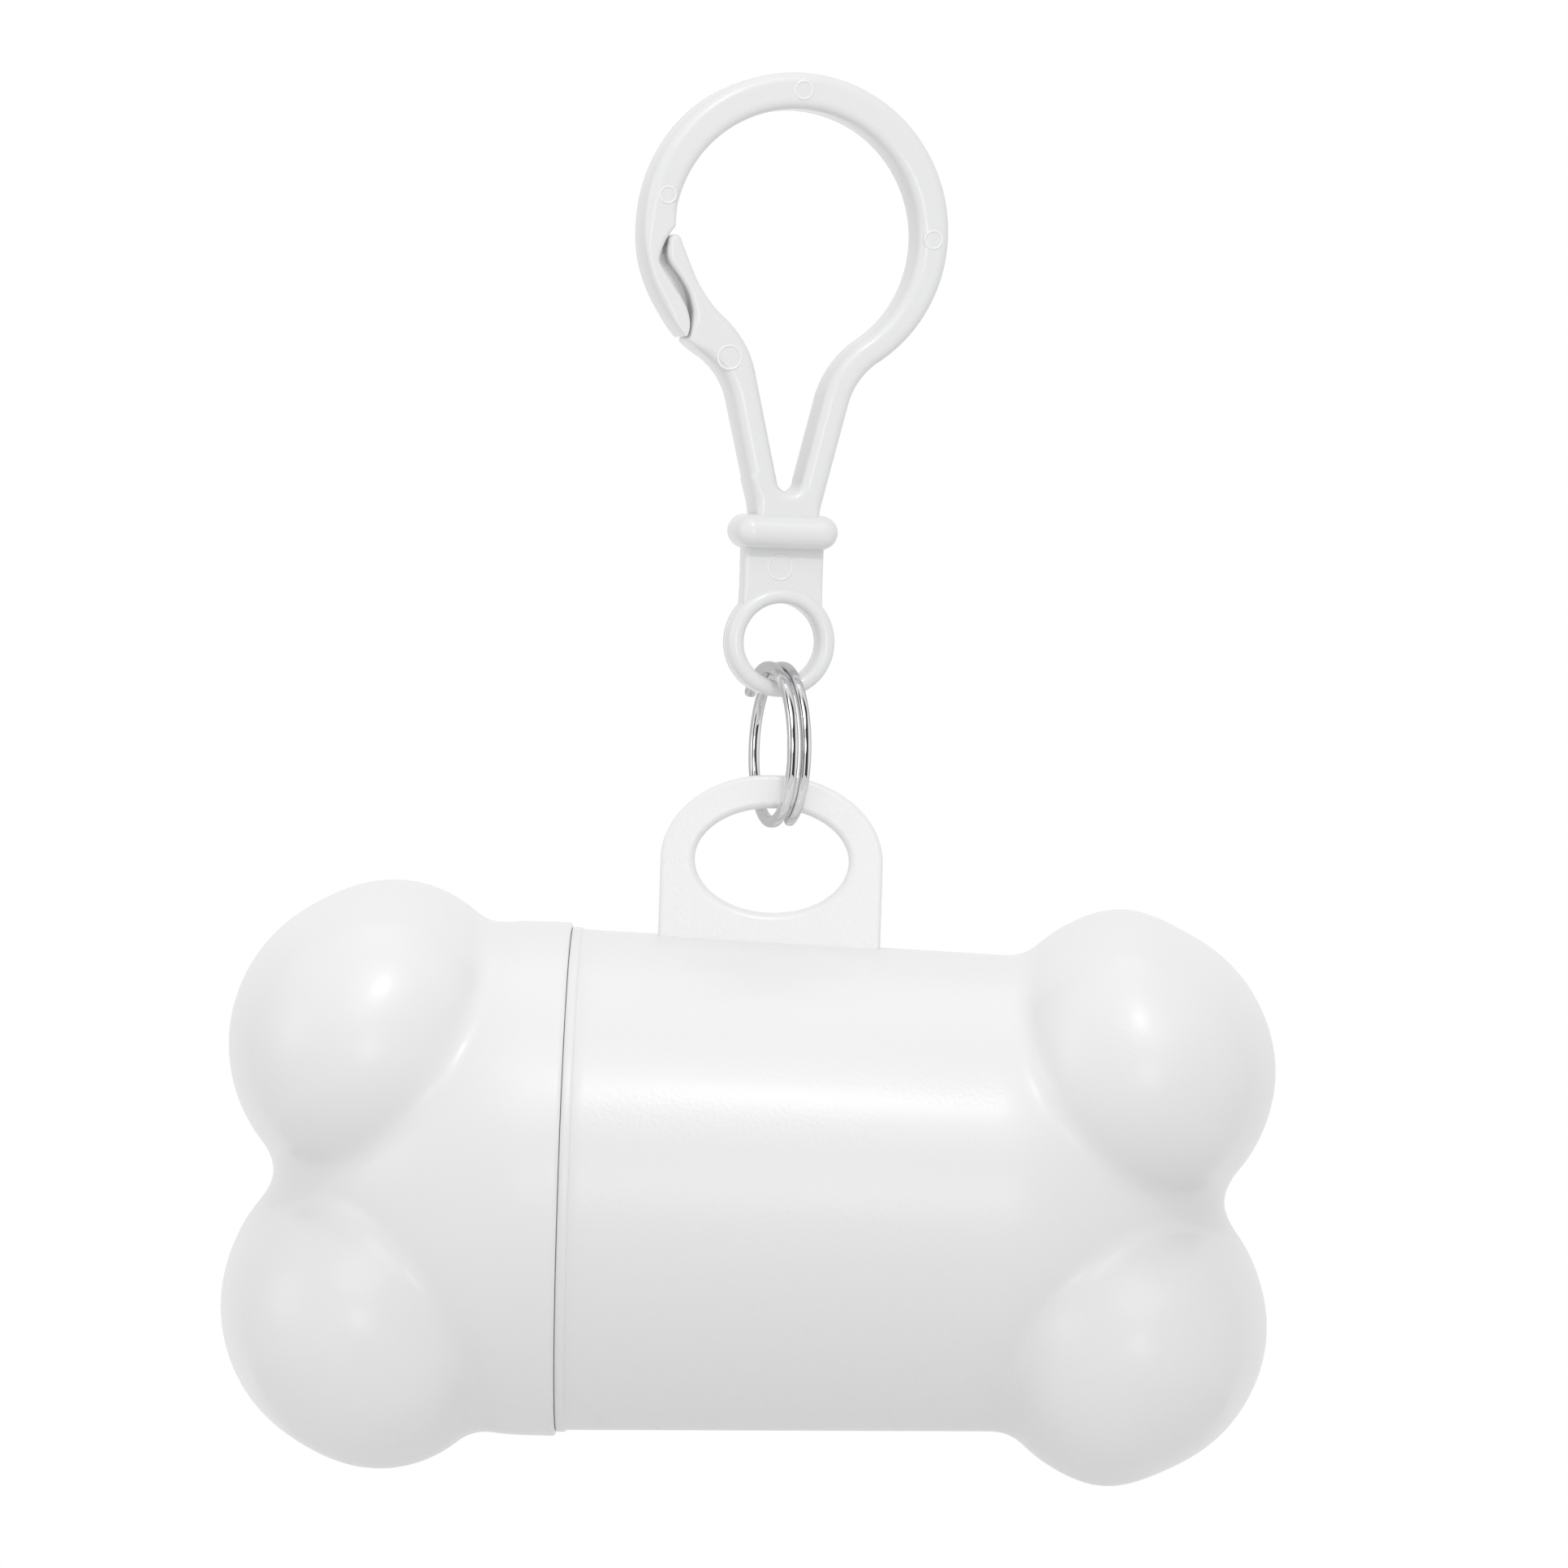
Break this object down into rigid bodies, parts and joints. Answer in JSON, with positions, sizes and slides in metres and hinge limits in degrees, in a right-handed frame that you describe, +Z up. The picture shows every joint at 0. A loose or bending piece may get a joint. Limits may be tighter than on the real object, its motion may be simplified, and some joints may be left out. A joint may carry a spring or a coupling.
{
  "type": "dog poop bag dispenser",
  "caption": "Bone-shaped white plastic holder for a roll of bags, with a pull-off cap, hung by a metal split ring from a plastic spring hook.",
  "frame": {"origin": "the hook's seat: the inside top of its loop, where a strap or belt loop holds it", "axes": "+X along the bone from the cap to the closed end, -Y to the front, +Z up along the hanging line"},
  "size_m": [0.0854, 0.042, 0.1149],
  "materials": {
    "hook_plastic": "smooth, slightly translucent",
    "ring_metal": "bright nickel plate",
    "holder_plastic": "fine spark-eroded texture",
    "cap_plastic": "fine satin",
    "bag_film": "thin wrinkled film",
    "core_card": "plain paper board"
  },
  "bodies": {
    "hook": {"hook_frame": "hook_plastic"},
    "gate": {"gate_arm": "hook_plastic"},
    "ring": {"split_ring": "ring_metal"},
    "holder": {"holder_front_shell": "holder_plastic", "holder_back_shell": "holder_plastic"},
    "cap": {"cap_front_shell": "cap_plastic", "cap_back_shell": "cap_plastic"},
    "roll": {"bag_roll": "bag_film", "roll_core": "core_card"}
  },
  "joints": [
    {"name": "gate_spring", "type": "hinge", "parent": "hook", "child": "gate", "pos_m": [-0.00208, -0.00052, -0.03013], "axis": [-0.2419, 0.9703, 0], "range_deg": [0, 16], "stiffness_Nm_per_rad": 0.3},
    {"name": "ring_swing", "type": "hinge", "parent": "hook", "child": "ring", "pos_m": [0, 0, -0.04723], "axis": [0.9703, 0.2419, 0], "range_deg": [-35, 35]},
    {"name": "bone_tilt", "type": "hinge", "parent": "ring", "child": "holder", "pos_m": [0, 0, -0.05813], "axis": [-0.2924, 0.9563, 0], "range_deg": [-45, 45]},
    {"name": "cap_pull", "type": "slide", "parent": "holder", "child": "cap", "axis": [-1, 0, 0], "range_m": [0, 0.04]},
    {"name": "roll_spin", "type": "hinge", "parent": "holder", "child": "roll", "pos_m": [0, 0, -0.09173], "axis": [1, 0, 0], "continuous": true}
  ]
}
